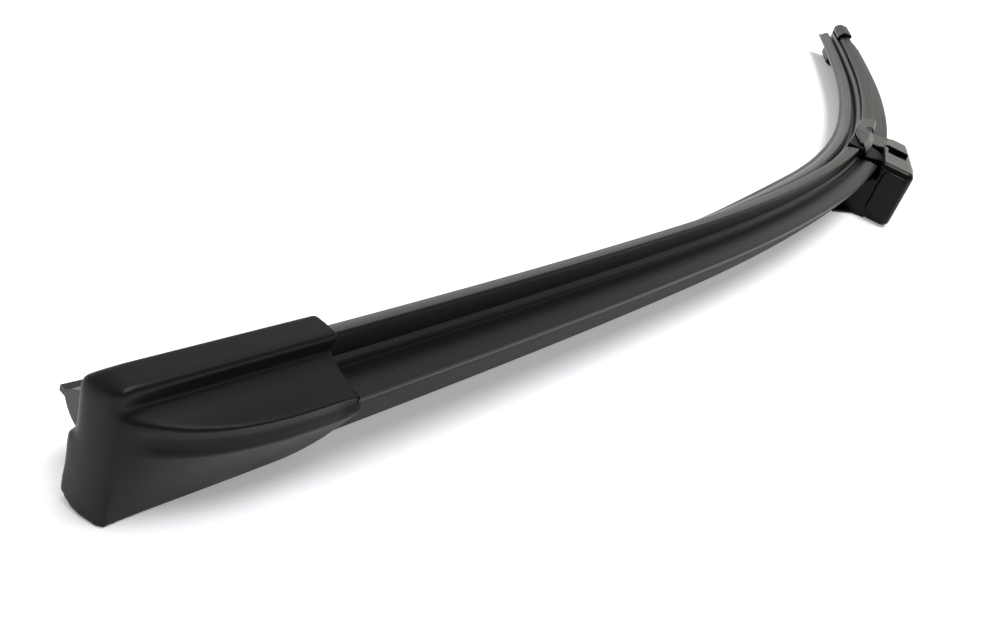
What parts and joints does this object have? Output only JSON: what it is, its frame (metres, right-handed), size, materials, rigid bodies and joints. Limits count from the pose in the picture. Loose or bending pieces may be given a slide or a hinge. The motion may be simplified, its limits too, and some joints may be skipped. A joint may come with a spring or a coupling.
{
  "type": "wiper blade",
  "caption": "Bowed flat wiper blade with a crested rubber spoiler, a thin wiping lip, closed plastic end caps and a clip that pivots for the wiper arm.",
  "frame": {"origin": "middle of the footprint, on the table that the blade lies on with its leeward side up", "axes": "+X along the blade from the near end to the far end, -Y away from the glass at the middle, +Z across the blade's width, up from the table"},
  "size_m": [0.4916, 0.073, 0.0172],
  "materials": {
    "wiper_rubber": "satin, graphite-coated",
    "rail_steel": "rolled spring steel",
    "spoiler_rubber": "satin, extruded",
    "cap_plastic": "fine moulded grain",
    "bracket_steel": "black dip coat",
    "pin_steel": "bright, riveted flush",
    "cover_plastic": "fine moulded grain",
    "adapter_plastic": "fine moulded grain"
  },
  "bodies": {
    "blade": {"wiper_rubber": "wiper_rubber", "spring_rail_front": "rail_steel", "spring_rail_rear": "rail_steel", "spoiler_near": "spoiler_rubber", "spoiler_far": "spoiler_rubber", "end_cap_near": "cap_plastic", "end_cap_far": "cap_plastic", "rail_bracket": "bracket_steel", "pivot_pin": "pin_steel", "connector_cover": "cover_plastic"},
    "adapter": {"arm_adapter": "adapter_plastic"}
  },
  "joints": [
    {"name": "adapter_tilt", "type": "hinge", "parent": "blade", "child": "adapter", "pos_m": [0.01161, -0.02707, 0.0086], "axis": [0, 0, 1], "range_deg": [-2, 15]}
  ]
}
